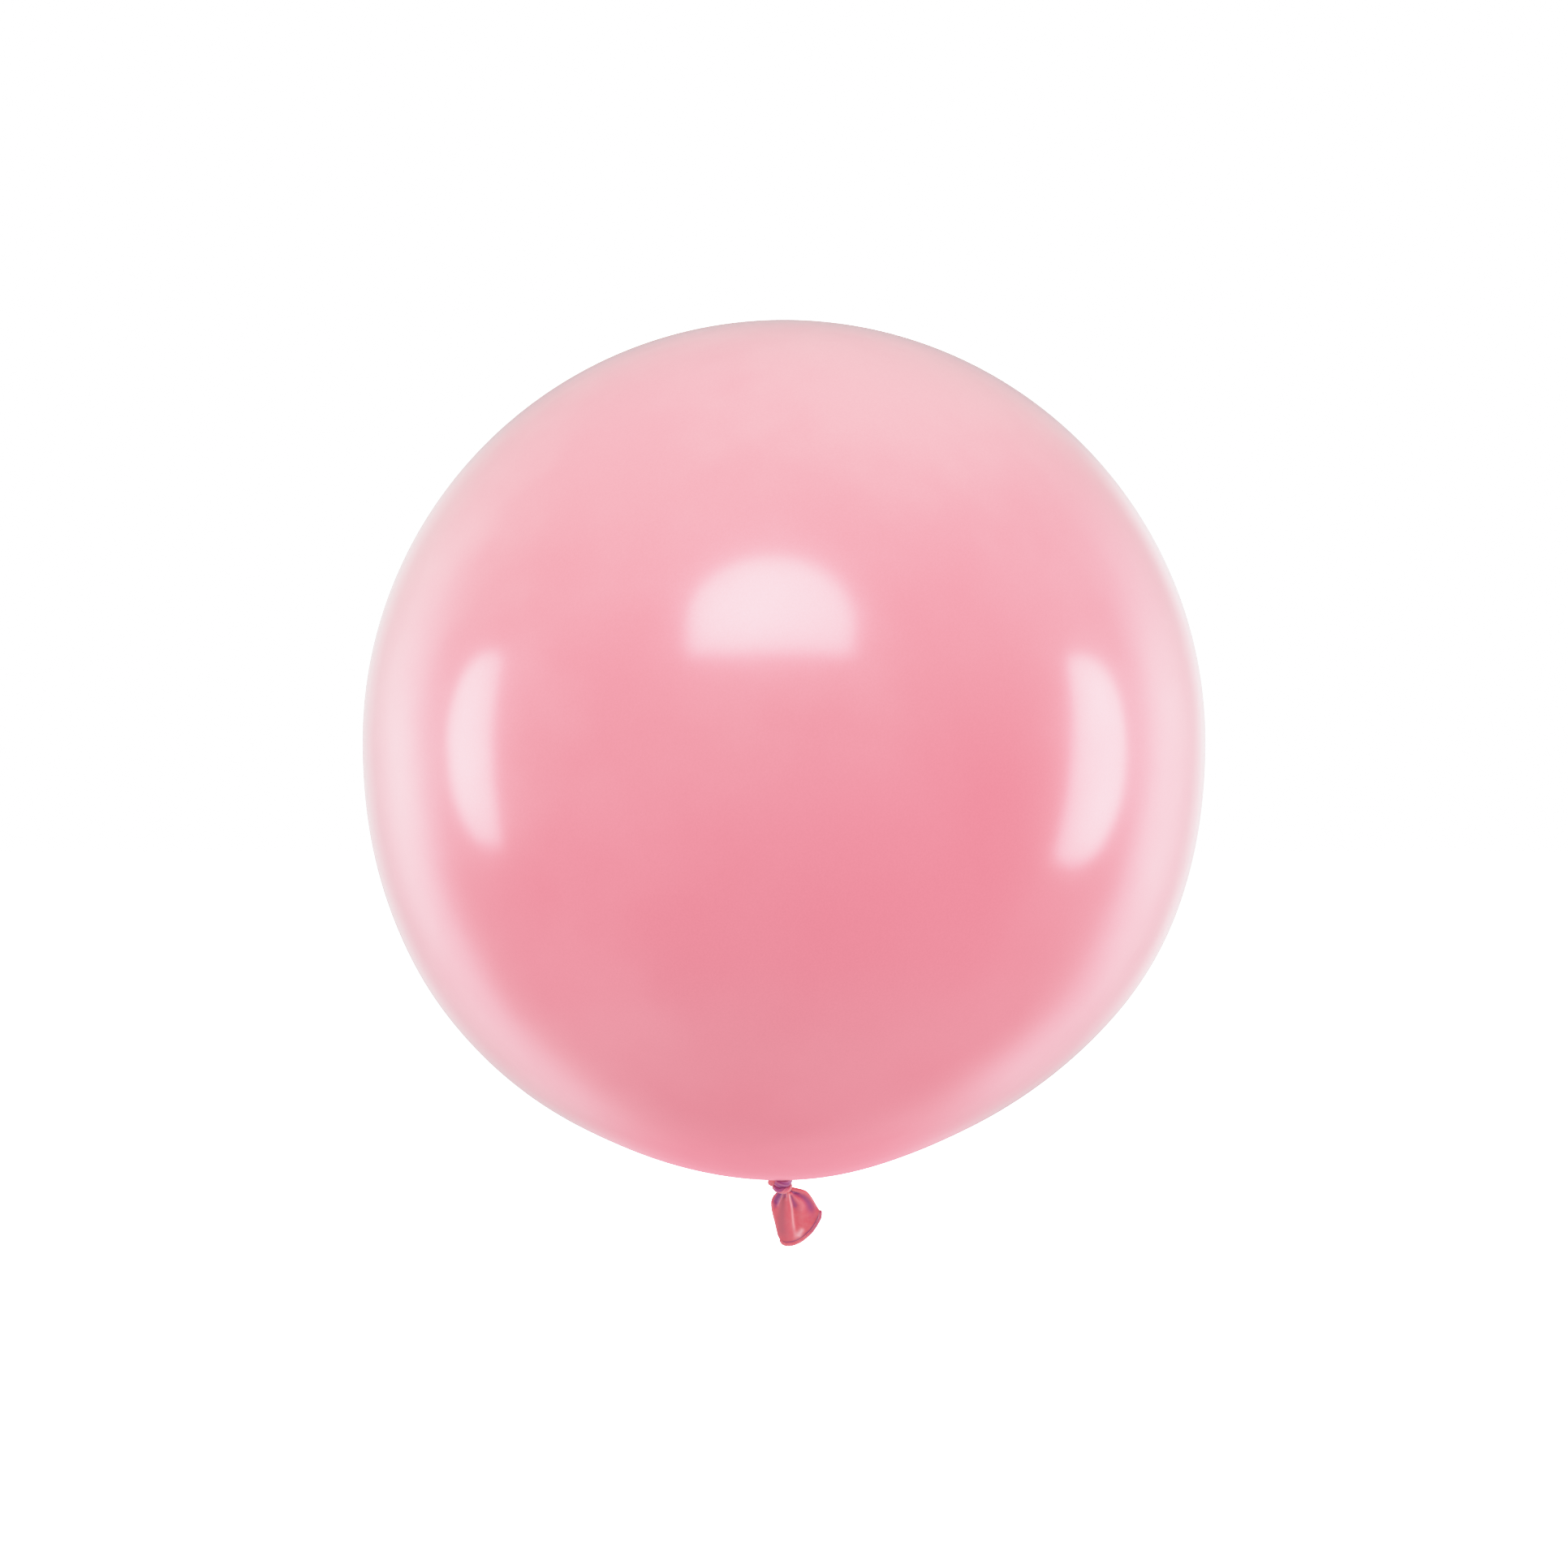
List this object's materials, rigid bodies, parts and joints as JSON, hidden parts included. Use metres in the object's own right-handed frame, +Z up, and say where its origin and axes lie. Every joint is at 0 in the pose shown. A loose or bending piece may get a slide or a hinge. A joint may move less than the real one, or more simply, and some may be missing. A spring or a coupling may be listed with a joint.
{
  "type": "round latex balloon",
  "caption": "Inflated round balloon of thin translucent rubber film, tied off underneath in its own neck, with a flared tail and a rolled mouth that hang below the knot.",
  "frame": {"origin": "middle of the waist between the bulb and the knot, where a ribbon is tied", "axes": "+Z up through the crown of the bulb, +X to the right along the flattened tail, -Y to the front"},
  "size_m": [0.5999, 0.6, 0.6628],
  "materials": {
    "bulb_latex": "gloss",
    "neck_latex": "satin",
    "bead_latex": "satin"
  },
  "bodies": {
    "bulb": {"bulb_film": "bulb_latex"},
    "throat": {"throat_gather": "neck_latex"},
    "knot": {"knot_wrap": "neck_latex", "knot_core": "neck_latex", "knot_fold": "neck_latex"},
    "tail_root": {"tail_gather": "neck_latex"},
    "tail": {"tail_skirt": "neck_latex", "mouth_bead": "bead_latex"}
  },
  "joints": [
    {"name": "knot_nod", "type": "hinge", "parent": "bulb", "child": "throat", "pos_m": [0, 0, 0.0018], "axis": [1, 0, 0], "range_deg": [-22, 22], "stiffness_Nm_per_rad": 0.002},
    {"name": "knot_rock", "type": "hinge", "parent": "throat", "child": "knot", "pos_m": [0, 0, -0.002], "axis": [0, 1, 0], "range_deg": [-22, 22], "stiffness_Nm_per_rad": 0.002},
    {"name": "tail_sway", "type": "hinge", "parent": "knot", "child": "tail_root", "pos_m": [0, 0, -0.0118], "axis": [0, 1, 0], "range_deg": [-12, 12], "stiffness_Nm_per_rad": 0.002},
    {"name": "tail_flap", "type": "hinge", "parent": "tail_root", "child": "tail", "pos_m": [0.00327, 0, -0.01822], "axis": [0.891, 0, 0.454], "range_deg": [-45, 45], "stiffness_Nm_per_rad": 0.001}
  ]
}
